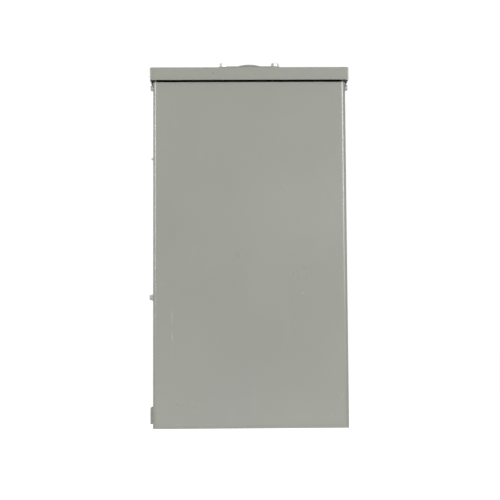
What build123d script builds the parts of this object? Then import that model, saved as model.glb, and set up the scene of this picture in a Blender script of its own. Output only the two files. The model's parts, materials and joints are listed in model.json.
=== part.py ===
"""Outdoor residential load center: rain hood, lift-up door, dead front, bus, breakers and wiring bars.

Frame: +X right as seen from the front, -Y towards the user, +Z up. The wall plane is y = 0 and the origin is
the centre of the four wall mounting holes on it. All lengths are in millimetres.
"""

from build123d import *
import os

# ---- Driving dimensions ------------------------------------------------------------------------------------
BOX_WIDTH = 360.0
BOX_HEIGHT = 675.0
BOX_SHEET = 1.5
BOX_BEND = 3.0
WALL_GAP = 6.0  # the back panel stands off the wall by the depth of its embossed pads
RIM_Y = -120.0  # front edge of the box sides
RIM_RETURN = 9.0

HOOD_WIDTH = 378.0
HOOD_DROP = 24.7  # hood top to the lower edge of its flange
HOOD_FRONT_Y = -130.0
HOOD_BEND = 2.2
HOOD_INNER_FLANGE = 15.0
LIP_HEIGHT = 3.0
LIP_KICK = 1.3

DOOR_WIDTH = 367.0
DOOR_SHEET = 1.2
DOOR_FRONT_Y = -124.0
DOOR_DEPTH = 24.0
DOOR_BEND = 8.0
DOOR_EAR_R = 9.0
DOOR_GAP = 3.0  # hood flange to the top edge of the door
DOOR_OVERHANG = 6.5  # how far the door reaches below the box
DOOR_TOP_RETURN = 10.0
DOOR_TOP_RETURN_WIDTH = 346.0

PIVOT_DROP = 37.0  # hood top to the pivot axis
PIVOT_Y = -113.0
PIVOT_R = 3.25
PIVOT_FIT = 0.06
EAR_R = 8.0
NOTCH_Y = -93.0
NOTCH_OVER_PIVOT = 6.2

MOUNT_SPACING_X = 241.3
MOUNT_SPACING_Z = 571.5
MOUNT_HOLE_R = 3.5
PAD_R_WALL = 13.0
PAD_R_PANEL = 16.5

DEADFRONT_Y = -92.0
DEADFRONT_SHEET = 1.2
DEADFRONT_HALF_WIDTH = 166.0
DEADFRONT_TOP = 285.0
DEADFRONT_BOTTOM = -318.0
DEADFRONT_FLANGE = 10.0
DEADFRONT_FLANGE_HALF_WIDTH = 148.0
DEADFRONT_SCREW_X = 160.0
DEADFRONT_SCREW_R = 2.4
DEADFRONT_SCREW_Z = (250.0, -20.0, -290.0)

PITCH = 25.4  # one breaker space
ROWS = 10
ROW_0_Z = 120.0
CASE_GAP = 0.5
CASE_INNER_X = 3.0
CASE_OUTER_X = 77.0
CASE_BACK_Y = -37.0
CASE_FRONT_Y = -84.0
NOSE_INNER_X = 16.0
NOSE_OUTER_X = 58.0
NOSE_Y = -94.0
NOSE_CHAMFER = 0.8
WINDOW_GAP = 0.5
HANDLE_X = (NOSE_INNER_X + NOSE_OUTER_X) / 2
HANDLE_Y = -86.0
HANDLE_HUB_R = 9.0
HANDLE_WIDTH = 10.0
HANDLE_REACH = 22.0
HANDLE_ROOT = 6.4
HANDLE_TIP = 4.4
HANDLE_TILT = 18.0
HANDLE_CLEAR = 0.4
TIE_Y = 17.0  # start of the tie bar of a double handle, measured out from the pivot
TERMINAL_X = 70.0
TERMINAL_R = 4.0
TERMINAL_DEPTH = 14.0
WIRE_HOLE_R = 3.6
WIRE_HOLE_Y = -63.0
WIRE_HOLE_DEPTH = 16.0

MAIN_HALF_WIDTH = 52.0
MAIN_BOTTOM = 152.0
MAIN_TOP = 270.0
MAIN_NOSE_HALF_WIDTH = 30.0
MAIN_NOSE_BOTTOM = 178.0
MAIN_NOSE_TOP = 246.0
MAIN_HANDLE_Z = 212.0
MAIN_HANDLE_Y = -84.0
MAIN_HUB_R = 12.0
MAIN_HANDLE_WIDTH = 30.0
MAIN_HANDLE_REACH = 28.0
MAIN_HANDLE_ROOT = 10.0
MAIN_HANDLE_TIP = 7.5
LUG_X = 27.0
LUG_WIDTH = 24.0
LUG_HEIGHT = 26.0
LUG_BACK_Y = -44.0
LUG_FRONT_Y = -74.0
LUG_BORE_R = 8.0
LUG_BORE_Y = -56.0
LUG_SCREW_R = 5.0

PAN_HALF_WIDTH = 138.0
PAN_FOOT = 12.0
PAN_Y = -20.0
PAN_SHEET = 1.5
PAN_BOTTOM = -190.0
PAN_TOP = 276.0
INSULATOR_HALF_WIDTH = 96.0
INSULATOR_BOTTOM = -140.0
INSULATOR_TOP = 268.0
INSULATOR_Y = -32.0
BUS_Y = -35.0
BUS_INNER_X = 24.0
BUS_OUTER_X = 38.0
BUS_BOTTOM = -125.0
BUS_TOP = 190.0
FINGER_HEIGHT = 12.0
BLADE_INNER_X = 8.0
BLADE_OUTER_X = 22.0
BLADE_THICK = 2.0
BLADE_Y = -47.0
BLADE_SLOT = 1.5  # clearance all round a blade in its breaker
BUS_BOLT_Z = 142.0
RAIL_INNER_X = 64.0
RAIL_OUTER_X = 75.0

NEUTRAL_X = 122.0
NEUTRAL_SIZE = 12.0
NEUTRAL_BACK_Y = -46.0
NEUTRAL_BOTTOM = -184.0
NEUTRAL_TOP = 112.0
NEUTRAL_LUG_RISE = 38.0
NEUTRAL_SCREWS = 21
NEUTRAL_SCREW_PITCH = 12.7
NEUTRAL_SUPPORT_Z = (-130.0, 70.0)
STRAP_Z = -158.0
STRAP_HEIGHT = 14.0
STRAP_THICK = 3.0

GROUND_LEFT = 20.0
GROUND_RIGHT = 150.0
GROUND_Z = -296.0
GROUND_BACK_Y = -20.0
GROUND_SCREWS = 9
GROUND_SCREW_PITCH = 12.7
GROUND_MOUNT_R = 7.0

HUB_Y = -70.0
HUB_OPENING_R = 38.0
HUB_PLATE_X = 118.0
HUB_PLATE_Y = 104.0
HUB_CORNER_R = 8.0
HUB_SCREW_X = 49.5
HUB_SCREW_Y = 40.0
HUB_SCREW_SHANK_R = 2.4
HUB_SHEET = 1.6
HUB_GASKET = 1.6
HUB_DOME_R = 44.0
HUB_DOME_RISE = 14.0

RETAINER_DROP = 437.0  # hood top to the door retaining screw
RETAINER_Y = -110.0
RETAINER_SHANK_R = 2.6
RETAINER_SLOT_R = 3.2
RETAINER_GAP = 0.35
RIVET_DROP = 172.5
RIVET_Y = -108.5
RIVET_HEAD_R = 2.6
RIVET_PROUD = 4.0
PAD_R = 7.0
PAD_THICK = 1.8
LOOP_BOTTOM = 9.0  # above the lower edge of the door
LOOP_HEIGHT = 30.0
LOOP_PROUD = 5.3
LOOP_SHEET = 0.9
LOOP_FOOT = 3.0
LOOP_RAMP = 2.5
LOOP_FLAT = 5.0
DOOR_LOOP_Y = -115.9
BOX_LOOP_Y = -98.0
LOOP_CORNER = 2.6

CARD_HALF_WIDTH = 70.0
CARD_BOTTOM = -130.0
CARD_TOP = 110.0
CARD_THICK = 0.6

KNOCKOUT_GROOVE = 0.9
KNOCKOUT_DEPTH = 0.6
SIDE_KNOCKOUTS = ((-300.0, (11.0, 14.2)), (-250.0, (11.0, 14.2)), (-190.0, (14.2, 17.6)))
SIDE_KNOCKOUT_Y = -52.0
BACK_KNOCKOUTS = ((-95.0, (11.0, 14.2)), (-40.0, (14.2, 17.6)), (40.0, (14.2, 17.6)), (95.0, (11.0, 14.2)))
BACK_KNOCKOUT_Z = 306.0
BOTTOM_KNOCKOUTS = (
    (-135.0, (11.0, 14.2)),
    (-82.0, (14.2, 17.6)),
    (0.0, (22.0, 25.5, 31.5, 38.0)),
    (82.0, (14.2, 17.6)),
    (135.0, (11.0, 14.2)),
)
BOTTOM_KNOCKOUT_Y = -62.0

# ---- Worked-out places --------------------------------------------------------------------------------------
BOX_HALF = BOX_WIDTH / 2
BOX_TOP = BOX_HEIGHT / 2
BOX_BOTTOM = -BOX_HEIGHT / 2
BACK_Y = -WALL_GAP
INNER_BACK_Y = BACK_Y - BOX_SHEET
INNER_HALF = BOX_HALF - BOX_SHEET
HOOD_TOP = BOX_TOP + BOX_SHEET
HOOD_HALF = HOOD_WIDTH / 2
HOOD_EDGE = HOOD_TOP - HOOD_DROP
DOOR_HALF = DOOR_WIDTH / 2
DOOR_TOP = HOOD_EDGE - DOOR_GAP
DOOR_BOTTOM = BOX_BOTTOM - DOOR_OVERHANG
DOOR_BACK_Y = DOOR_FRONT_Y + DOOR_DEPTH
DOOR_INNER_HALF = DOOR_HALF - DOOR_SHEET
PIVOT_Z = HOOD_TOP - PIVOT_DROP
RETAINER_Z = HOOD_TOP - RETAINER_DROP
RIVET_Z = HOOD_TOP - RIVET_DROP
LOOP_Z = DOOR_BOTTOM + LOOP_BOTTOM
PLATE_BOTTOM = HOOD_TOP + HUB_GASKET
PLATE_TOP = PLATE_BOTTOM + HUB_SHEET
MOUNT_SPOTS = [(x, z) for x in (-MOUNT_SPACING_X / 2, MOUNT_SPACING_X / 2)
               for z in (-MOUNT_SPACING_Z / 2, MOUNT_SPACING_Z / 2)]
SIDES = (-1, 1)
LEFT, RIGHT = SIDES
# Each branch breaker: its name, its column, and its first and last row.
BREAKERS = (
    ("branch_left_1", LEFT, 0, 1),
    ("branch_left_2", LEFT, 2, 2),
    ("branch_left_3", LEFT, 3, 3),
    ("branch_left_4", LEFT, 4, 4),
    ("branch_right_1", RIGHT, 0, 1),
    ("branch_right_2", RIGHT, 2, 3),
    ("branch_right_3", RIGHT, 4, 4),
    ("branch_right_4", RIGHT, 5, 5),
)
TURN = {"x": Rot(0, 90, 0), "y": Rot(90, 0, 0), "z": Rot(0, 0, 0)}
FACING = {"left": Rot(0, -90, 0), "right": Rot(0, 90, 0), "front": Rot(90, 0, 0), "up": Rot(0, 0, 0)}


# ---- Shared shapes ------------------------------------------------------------------------------------------
def block(x0, x1, y0, y1, z0, z1):
    """A block between two corners."""
    middle = Pos((x0 + x1) / 2, (y0 + y1) / 2, (z0 + z1) / 2)
    return middle * Box(x1 - x0, y1 - y0, z1 - z0)


def rod(axis, radius, low, high, a, b):
    """A cylinder along an axis from low to high. a and b are its other two coordinates, in x, y, z order."""
    middle = (low + high) / 2
    spot = {"x": (middle, a, b), "y": (a, middle, b), "z": (a, b, middle)}[axis]
    return Pos(*spot) * TURN[axis] * Cylinder(radius, high - low)


def group(pieces):
    """Separate solids kept together as one node."""
    return Compound([solid for piece in pieces for solid in piece.solids()])


def both_sides(right_piece):
    """A right-hand piece and its mirror image."""
    return [right_piece, mirror(right_piece, about=Plane.YZ)]


def on_side(side, right_piece):
    return right_piece if side == RIGHT else mirror(right_piece, about=Plane.YZ)


def edges_on(shape, axis, value, along=None):
    """The edges whose middle lies at one coordinate, with their direction along an axis if that is given."""
    found = shape.edges().filter_by_position(axis, value - 1e-3, value + 1e-3)
    return found.filter_by(along) if along else found


def hex_washer_screw(flats, head, washer_r, washer, shank_r, shank):
    """A slotted hex washer-head screw along +Z, with the underside of its washer at z = 0."""
    slot_width, slot_depth, crown = 1.2, 1.4, 0.5
    hexagon = extrude(RegularPolygon(flats / 2, 6, major_radius=False), head + washer)
    domed = hexagon & Pos(0, 0, (head + washer) / 2) * Cylinder(flats * 0.56, head + washer)
    domed = chamfer(domed.faces().sort_by(Axis.Z)[-1].outer_wire().edges(), crown)
    skirt = Pos(0, 0, washer / 2) * Cylinder(washer_r, washer)
    skirt = chamfer(skirt.edges().sort_by(Axis.Z)[-1], washer * 0.5)
    slot = Pos(0, 0, head + washer) * Box(4 * flats, slot_width, 2 * slot_depth)
    return with_shank(domed + skirt - slot, shank_r, shank)


def pan_screw(radius, head, shank_r, shank):
    """A slotted round-topped screw along +Z, with the underside of its head at z = 0."""
    slot_width, slot_depth = 1.1, 0.9
    top = Pos(0, 0, head / 2) * Cylinder(radius, head)
    top = fillet(top.edges().sort_by(Axis.Z)[-1], head * 0.45)
    slot = Pos(0, 0, head) * Box(3 * radius, slot_width, 2 * slot_depth)
    return with_shank(top - slot, shank_r, shank)


def with_shank(head, shank_r, shank):
    """A screw head with its shank down to z = -shank, or the head alone where the shank is out of sight."""
    return head + Pos(0, 0, -shank / 2) * Cylinder(shank_r, shank) if shank else head


def knockout_rings(radii):
    """Round grooves about +Z whose floor is KNOCKOUT_DEPTH below z = 0."""
    rings = []
    for radius in radii:
        outer = Cylinder(radius + KNOCKOUT_GROOVE / 2, 2 * KNOCKOUT_DEPTH)
        rings.append(outer - Cylinder(radius - KNOCKOUT_GROOVE / 2, 2 * KNOCKOUT_DEPTH))
    return rings


def cut_all(shape, cutters):
    for cutter in cutters:
        shape = shape - cutter
    return shape


# ---- Enclosure ----------------------------------------------------------------------------------------------
def box_wrap():
    """Back panel and both sides, folded from one sheet, with front rim returns and embossed mounting pads."""
    outer = block(-BOX_HALF, BOX_HALF, RIM_Y, BACK_Y, BOX_BOTTOM, BOX_TOP)
    outer = fillet(edges_on(outer, Axis.Y, BACK_Y, Axis.Z), BOX_BEND)
    inner = block(-INNER_HALF, INNER_HALF, RIM_Y - 1, INNER_BACK_Y, BOX_BOTTOM - 1, BOX_TOP + 1)
    inner = fillet(edges_on(inner, Axis.Y, INNER_BACK_Y, Axis.Z), BOX_BEND - BOX_SHEET)
    wrap = outer - inner
    rim_top = PIVOT_Z - 2 * EAR_R
    for rim in both_sides(block(INNER_HALF - RIM_RETURN, INNER_HALF, RIM_Y, RIM_Y + BOX_SHEET,
                                BOX_BOTTOM, rim_top)):
        wrap = wrap + rim
    notch_floor = PIVOT_Z + NOTCH_OVER_PIVOT
    wrap = wrap - block(-BOX_HALF - 1, BOX_HALF + 1, RIM_Y - 1, NOTCH_Y, notch_floor, BOX_TOP + 1)
    ears = [e for e in edges_on(wrap, Axis.Y, RIM_Y, Axis.X) if e.center().Z > notch_floor - 1]
    wrap = fillet(ears, EAR_R)
    wrap = wrap - rod("x", PIVOT_R, -BOX_HALF - 1, BOX_HALF + 1, PIVOT_Y, PIVOT_Z)
    wrap = wrap - rod("x", RETAINER_SHANK_R, -BOX_HALF - 1, -INNER_HALF + 1, RETAINER_Y, RETAINER_Z)
    for x, z in MOUNT_SPOTS:
        wrap = wrap + pad_cone(x, z, 0) - pad_cone(x, z, BOX_SHEET)
        wrap = wrap - rod("y", MOUNT_HOLE_R, -2 * WALL_GAP, 1, x, z)
    cutters = []
    for z, radii in SIDE_KNOCKOUTS:
        for ring in knockout_rings(radii):
            cutters.append(Pos(-BOX_HALF, SIDE_KNOCKOUT_Y, z) * TURN["x"] * ring)
            cutters.append(Pos(BOX_HALF, SIDE_KNOCKOUT_Y, z) * TURN["x"] * ring)
    for x, radii in BACK_KNOCKOUTS:
        for ring in knockout_rings(radii):
            cutters.append(Pos(x, BACK_Y, BACK_KNOCKOUT_Z) * TURN["y"] * ring)
    return cut_all(wrap, cutters)


def pad_cone(x, z, inset):
    """An embossed pad's cone, from the back panel to the wall, or its hollow when inset by the sheet."""
    depth = WALL_GAP + (BOX_SHEET if inset else 0)
    cone = Cone(PAD_R_PANEL - inset, PAD_R_WALL - inset, depth)
    return Pos(x, -inset - depth / 2, z) * Rot(-90, 0, 0) * cone


def bottom_end_wall():
    """A tray between the sides: floor, welded side flanges and a front rim."""
    flange = 12.0
    outer = block(-INNER_HALF, INNER_HALF, RIM_Y + BOX_SHEET, INNER_BACK_Y, BOX_BOTTOM, BOX_BOTTOM + flange)
    inner = block(-INNER_HALF + BOX_SHEET, INNER_HALF - BOX_SHEET, RIM_Y + 2 * BOX_SHEET,
                  INNER_BACK_Y - BOX_SHEET, BOX_BOTTOM + BOX_SHEET, BOX_BOTTOM + flange + 1)
    outer = fillet(edges_on(outer, Axis.Y, INNER_BACK_Y, Axis.Z), BOX_BEND - BOX_SHEET)
    tray = outer - inner
    rings = []
    for x, radii in BOTTOM_KNOCKOUTS:
        rings += [Pos(x, BOTTOM_KNOCKOUT_Y, BOX_BOTTOM) * ring for ring in knockout_rings(radii)]
    return cut_all(tray, rings)


def rain_hood():
    """Top end wall with drip flanges on three sides, an outward front lip and the round hub opening."""
    outer = block(-HOOD_HALF, HOOD_HALF, HOOD_FRONT_Y, BACK_Y, HOOD_EDGE, HOOD_TOP)
    corners = edges_on(outer, Axis.Y, HOOD_FRONT_Y, Axis.Z)
    rounded = corners + edges_on(outer, Axis.Z, HOOD_TOP, Axis.Y)
    front_top = [e for e in edges_on(outer, Axis.Z, HOOD_TOP, Axis.X) if e.center().Y < HOOD_FRONT_Y + 1]
    outer = fillet(rounded + front_top, HOOD_BEND)
    inside_half = HOOD_HALF - BOX_SHEET
    inner = block(-inside_half, inside_half, HOOD_FRONT_Y + BOX_SHEET, BACK_Y + 1, HOOD_EDGE - 1, BOX_TOP)
    hood = outer - inner
    lip_top = HOOD_EDGE + LIP_HEIGHT
    flat = inside_half - HOOD_BEND
    hood = hood - block(-flat, flat, HOOD_FRONT_Y - 1, HOOD_FRONT_Y + BOX_SHEET + 1, HOOD_EDGE - 1, lip_top)
    hood = hood + drip_lip(flat, lip_top)
    for flange in both_sides(block(INNER_HALF - BOX_SHEET, INNER_HALF, NOTCH_Y + 2, INNER_BACK_Y - BOX_SHEET,
                                   BOX_TOP - HOOD_INNER_FLANGE, BOX_TOP)):
        hood = hood + flange
    hood = hood + block(-INNER_HALF + 6, INNER_HALF - 6, INNER_BACK_Y - BOX_SHEET, INNER_BACK_Y,
                        BOX_TOP - HOOD_INNER_FLANGE, BOX_TOP)
    hood = hood - rod("z", HUB_OPENING_R, BOX_TOP - 1, HOOD_TOP + 1, 0, HUB_Y)
    for x, y in hub_screw_spots():
        hood = hood - rod("z", HUB_SCREW_SHANK_R, BOX_TOP - 1, HOOD_TOP + 1, x, y)
    return hood


def drip_lip(half, lip_top):
    """The outward kick along the lower edge of the hood's front flange."""
    inner_y = HOOD_FRONT_Y + BOX_SHEET
    outline = Polyline((HOOD_FRONT_Y, lip_top), (HOOD_FRONT_Y - LIP_KICK, HOOD_EDGE),
                       (inner_y - LIP_KICK, HOOD_EDGE), (inner_y, lip_top), close=True)
    return Pos(-half, 0, 0) * extrude(Plane.YZ * make_face(outline), 2 * half)


def hub_screw_spots():
    return [(x, HUB_Y + y) for x in (-HUB_SCREW_X, HUB_SCREW_X) for y in (-HUB_SCREW_Y, HUB_SCREW_Y)]


def hub_gasket():
    """Flat seal between the hood and the closure plate."""
    sheet = extrude(Pos(0, HUB_Y, HOOD_TOP) * RectangleRounded(HUB_PLATE_X, HUB_PLATE_Y, HUB_CORNER_R), HUB_GASKET)
    sheet = sheet - rod("z", HUB_OPENING_R, HOOD_TOP - 1, PLATE_BOTTOM + 1, 0, HUB_Y)
    for x, y in hub_screw_spots():
        sheet = sheet - rod("z", HUB_SCREW_SHANK_R, HOOD_TOP - 1, PLATE_BOTTOM + 1, x, y)
    return sheet


def hub_closure_plate():
    """Rounded square plate with a shallow pressed dome."""
    plate = extrude(Pos(0, HUB_Y, PLATE_BOTTOM) * RectangleRounded(HUB_PLATE_X, HUB_PLATE_Y, HUB_CORNER_R), HUB_SHEET)
    plate = plate + dome(HUB_DOME_R, PLATE_TOP) - dome(HUB_DOME_R - HUB_SHEET, PLATE_BOTTOM)
    for x, y in hub_screw_spots():
        plate = plate - rod("z", HUB_SCREW_SHANK_R, PLATE_BOTTOM - 1, PLATE_TOP + 1, x, y)
    return plate


def dome(base_r, base_z):
    """A spherical cap of HUB_DOME_RISE over a circle at base_z."""
    ball_r = (base_r**2 + HUB_DOME_RISE**2) / (2 * HUB_DOME_RISE)
    ball = Pos(0, HUB_Y, base_z + HUB_DOME_RISE - ball_r) * Sphere(ball_r)
    keep = rod("z", base_r + 1, base_z, base_z + HUB_DOME_RISE + 1, 0, HUB_Y)
    return ball & keep


def hub_plate_screws():
    screw = hex_washer_screw(12.7, 6.4, 8.2, 1.6, HUB_SCREW_SHANK_R, 8.0)
    turns = (20.0, -35.0, 70.0, 5.0)
    return group([Pos(x, y, PLATE_TOP) * Rot(0, 0, turn) * screw
                  for (x, y), turn in zip(hub_screw_spots(), turns)])


# ---- Door and its hardware ----------------------------------------------------------------------------------
def door():
    """Full-front pan door with rounded bends, side and bottom flanges and a short top return."""
    outer = block(-DOOR_HALF, DOOR_HALF, DOOR_FRONT_Y, DOOR_BACK_Y, DOOR_BOTTOM, DOOR_TOP)
    outer = fillet(door_bends(outer, DOOR_FRONT_Y), DOOR_BEND)
    inner_front = DOOR_FRONT_Y + DOOR_SHEET
    inner = block(-DOOR_INNER_HALF, DOOR_INNER_HALF, inner_front, DOOR_BACK_Y + 1,
                  DOOR_BOTTOM + DOOR_SHEET, DOOR_TOP + 1)
    inner = fillet(door_bends(inner, inner_front), DOOR_BEND - DOOR_SHEET)
    pan = outer - inner
    ears = [e for e in edges_on(pan, Axis.Y, DOOR_BACK_Y, Axis.X) if e.center().Z > DOOR_TOP - 1]
    pan = fillet(ears, DOOR_EAR_R)
    half_return = DOOR_TOP_RETURN_WIDTH / 2
    pan = pan + block(-half_return, half_return, DOOR_FRONT_Y, DOOR_FRONT_Y + DOOR_TOP_RETURN,
                      DOOR_TOP - DOOR_SHEET, DOOR_TOP)
    pan = pan - rod("x", PIVOT_R + PIVOT_FIT, -DOOR_HALF - 1, DOOR_HALF + 1, PIVOT_Y, PIVOT_Z)
    pan = pan - rod("x", RETAINER_SLOT_R, -DOOR_HALF - 1, -DOOR_INNER_HALF + 1, RETAINER_Y, RETAINER_Z)
    pan = pan - block(-DOOR_HALF - 1, -DOOR_INNER_HALF + 1, RETAINER_Y, DOOR_BACK_Y + 1,
                      RETAINER_Z - RETAINER_SLOT_R, RETAINER_Z + RETAINER_SLOT_R)
    return pan - rod("x", RIVET_HEAD_R / 2, -DOOR_HALF - 1, -DOOR_INNER_HALF + 1, RIVET_Y, RIVET_Z)


def door_bends(pan, front_y):
    """The front edges that are bends: both sides and the bottom."""
    front = edges_on(pan, Axis.Y, front_y)
    return [e for e in front if e.center().Z < DOOR_TOP - 2]


def hinge_pivot_screws():
    """Shoulder screws that carry the door, one each side, through the box sides."""
    gap, washer = 0.25, 1.3
    screw = hex_washer_screw(9.5, 3.4, 6.6, washer, PIVOT_R, DOOR_HALF + gap - INNER_HALF + 6)
    placed = Pos(DOOR_HALF + gap, PIVOT_Y, PIVOT_Z) * FACING["right"] * screw
    return group(both_sides(placed))


def hinge_spacers():
    """Plain washers between the box sides and the door flanges."""
    clear, radius = 0.25, 4.6
    ring = rod("x", radius, BOX_HALF, DOOR_INNER_HALF - clear, PIVOT_Y, PIVOT_Z)
    ring = ring - rod("x", PIVOT_R, BOX_HALF - 1, DOOR_HALF, PIVOT_Y, PIVOT_Z)
    return group(both_sides(ring))


def hinge_nuts():
    """Hex nuts on the pivot screws inside the box."""
    flats, thick = 9.5, 4.0
    nut = extrude(RegularPolygon(flats / 2, 6, major_radius=False), thick) - Cylinder(PIVOT_R, 4 * thick)
    placed = Pos(INNER_HALF - thick, PIVOT_Y, PIVOT_Z) * TURN["x"] * nut
    return group(both_sides(placed))


def door_retaining_screw():
    """The screw in the left side that holds the door shut. The door's flange is slotted behind its washer."""
    shank = DOOR_HALF + RETAINER_GAP - INNER_HALF + 5
    screw = hex_washer_screw(9.5, 5.0, 6.8, 1.4, RETAINER_SHANK_R, shank)
    return Pos(-DOOR_HALF - RETAINER_GAP, RETAINER_Y, RETAINER_Z) * FACING["left"] * Rot(0, 0, 25) * screw


def door_pad():
    """Nylon pad inside the left flange that keeps the door from rattling on the box."""
    pad = rod("x", PAD_R, -DOOR_INNER_HALF, -DOOR_INNER_HALF + PAD_THICK, RIVET_Y, RIVET_Z)
    pad = chamfer(pad.edges().sort_by(Axis.X)[-1], 0.6)
    return pad - rod("x", RIVET_HEAD_R / 2, -DOOR_HALF, -BOX_HALF, RIVET_Y, RIVET_Z)


def door_pad_rivet():
    """Domed rivet that holds the pad."""
    head = rod("x", RIVET_HEAD_R, -DOOR_HALF - RIVET_PROUD, -DOOR_HALF, RIVET_Y, RIVET_Z)
    head = fillet(head.edges().sort_by(Axis.X)[0], RIVET_HEAD_R * 0.8)
    return head + rod("x", RIVET_HEAD_R / 2, -DOOR_HALF, -DOOR_INNER_HALF + PAD_THICK, RIVET_Y, RIVET_Z)


def seal_loop(face_x, start_y, proud):
    """A hat-shaped strap on the left side: two feet and a bridge, open at its ends for a seal or shackle."""
    steps = [(0, 0), (LOOP_FOOT, 0), (LOOP_FOOT + LOOP_RAMP, 1), (LOOP_FOOT + LOOP_RAMP + LOOP_FLAT, 1),
             (LOOP_FOOT + 2 * LOOP_RAMP + LOOP_FLAT, 0), (2 * LOOP_FOOT + 2 * LOOP_RAMP + LOOP_FLAT, 0)]
    inner = [(face_x - high * (proud - LOOP_SHEET), start_y + along) for along, high in steps]
    slim = LOOP_SHEET * 0.45  # keeps the ramps about as thick as the flats
    shift = (0, slim * -1, slim * -1, slim, slim, 0)
    outer = [(x - LOOP_SHEET, y + move) for (x, y), move in zip(inner, shift)]
    outline = Polyline(*inner, *reversed(outer), close=True)
    strap = Pos(0, 0, LOOP_Z) * extrude(make_face(outline), LOOP_HEIGHT)
    crest = [e for e in edges_on(strap, Axis.X, face_x - proud, Axis.Y)]
    return fillet(crest, LOOP_CORNER * 0.35)


def circuit_directory():
    """Blank circuit card on the inside of the door."""
    card_front = DOOR_FRONT_Y + DOOR_SHEET
    return block(-CARD_HALF_WIDTH, CARD_HALF_WIDTH, card_front, card_front + CARD_THICK, CARD_BOTTOM, CARD_TOP)


# ---- Dead front ---------------------------------------------------------------------------------------------
def row_z(row):
    return ROW_0_Z - row * PITCH


def deadfront():
    """Inner cover with the breaker windows, its unused spaces as scored twist-outs."""
    back = DEADFRONT_Y + DEADFRONT_SHEET
    plate = block(-DEADFRONT_HALF_WIDTH, DEADFRONT_HALF_WIDTH, DEADFRONT_Y, back,
                  DEADFRONT_BOTTOM, DEADFRONT_TOP)
    half = DEADFRONT_FLANGE_HALF_WIDTH
    for low in (DEADFRONT_BOTTOM, DEADFRONT_TOP - DEADFRONT_SHEET):
        plate = plate + block(-half, half, DEADFRONT_Y, DEADFRONT_Y + DEADFRONT_FLANGE, low, low + DEADFRONT_SHEET)
    cut_y = (DEADFRONT_Y - 1, back + 1)
    for side in SIDES:
        last = max(breaker[3] for breaker in BREAKERS if breaker[1] == side)
        low = row_z(last) - PITCH / 2 - WINDOW_GAP
        window = block(NOSE_INNER_X - WINDOW_GAP, NOSE_OUTER_X + WINDOW_GAP, *cut_y,
                       low, ROW_0_Z + PITCH / 2 + WINDOW_GAP)
        plate = plate - on_side(side, window)
        for row in range(last + 1, ROWS):
            plate = plate - on_side(side, twist_out(row))
    plate = plate - block(-MAIN_NOSE_HALF_WIDTH - WINDOW_GAP, MAIN_NOSE_HALF_WIDTH + WINDOW_GAP, *cut_y,
                          MAIN_NOSE_BOTTOM - WINDOW_GAP, MAIN_NOSE_TOP + WINDOW_GAP)
    for x, z in deadfront_screw_spots():
        plate = plate - rod("y", DEADFRONT_SCREW_R, *cut_y, x, z)
    return plate


def twist_out(row):
    """The scored outline of one unused breaker space."""
    groove, depth, inset = 0.8, 0.6, 1.2
    z = row_z(row)
    x0, x1 = NOSE_INNER_X - WINDOW_GAP, NOSE_OUTER_X + WINDOW_GAP
    z0, z1 = z - PITCH / 2 + inset, z + PITCH / 2 - inset
    outline = block(x0, x1, DEADFRONT_Y - 1, DEADFRONT_Y + depth, z0, z1)
    return outline - block(x0 + groove, x1 - groove, DEADFRONT_Y - 2, DEADFRONT_Y + 2, z0 + groove, z1 - groove)


def deadfront_screw_spots():
    return [(x, z) for x in (-DEADFRONT_SCREW_X, DEADFRONT_SCREW_X) for z in DEADFRONT_SCREW_Z]


def deadfront_screws():
    screw = pan_screw(4.6, 2.4, DEADFRONT_SCREW_R, 9.0)
    return group([Pos(x, DEADFRONT_Y, z) * FACING["front"] * screw for x, z in deadfront_screw_spots()])


def deadfront_brackets(side):
    """Angle brackets on one side wall that the dead front is screwed to."""
    foot_half, tab_half, reach = 16.0, 12.0, 28.0
    tab_y = DEADFRONT_Y + DEADFRONT_SHEET
    foot_x = INNER_HALF - BOX_SHEET
    brackets = []
    for z in DEADFRONT_SCREW_Z:
        foot = block(foot_x, INNER_HALF, tab_y, tab_y + reach, z - foot_half, z + foot_half)
        tab = block(DEADFRONT_SCREW_X - 7, foot_x, tab_y, tab_y + BOX_SHEET, z - tab_half, z + tab_half)
        hole = rod("y", DEADFRONT_SCREW_R, tab_y - 1, tab_y + 3, DEADFRONT_SCREW_X, z)
        brackets.append(on_side(side, foot + tab - hole))
    return group(brackets)


# ---- Interior -----------------------------------------------------------------------------------------------
def interior_pan():
    """Raised steel channel that carries the bus, the breakers and the neutral bars."""
    low, high = PAN_BOTTOM, PAN_TOP
    top = block(-PAN_HALF_WIDTH, PAN_HALF_WIDTH, PAN_Y, PAN_Y + PAN_SHEET, low, high)
    for wall in both_sides(block(PAN_HALF_WIDTH - PAN_SHEET, PAN_HALF_WIDTH, PAN_Y, INNER_BACK_Y, low, high)):
        top = top + wall
    for foot in both_sides(block(PAN_HALF_WIDTH, PAN_HALF_WIDTH + PAN_FOOT, INNER_BACK_Y - PAN_SHEET,
                                 INNER_BACK_Y, low, high)):
        top = top + foot
    return top


def pan_screws():
    spots = [(x, z) for x in (-1, 1) for z in (PAN_BOTTOM + 20, (PAN_BOTTOM + PAN_TOP) / 2, PAN_TOP - 20)]
    foot_x = PAN_HALF_WIDTH + PAN_FOOT / 2
    head = pan_screw(4.4, 2.6, 2.0, 0)
    return group([Pos(x * foot_x, INNER_BACK_Y - PAN_SHEET, z) * FACING["front"] * head for x, z in spots])


def bus_insulator():
    """Moulded base between the pan and the bus, with ribs beside the bus bars."""
    base = block(-INSULATOR_HALF_WIDTH, INSULATOR_HALF_WIDTH, INSULATOR_Y, PAN_Y,
                 INSULATOR_BOTTOM, INSULATOR_TOP)
    rib_x = (BUS_OUTER_X + 4, BUS_OUTER_X + 7)
    for rib in both_sides(block(*rib_x, BUS_Y, INSULATOR_Y, INSULATOR_BOTTOM, MAIN_BOTTOM - 4)):
        base = base + rib
    return base


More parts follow.
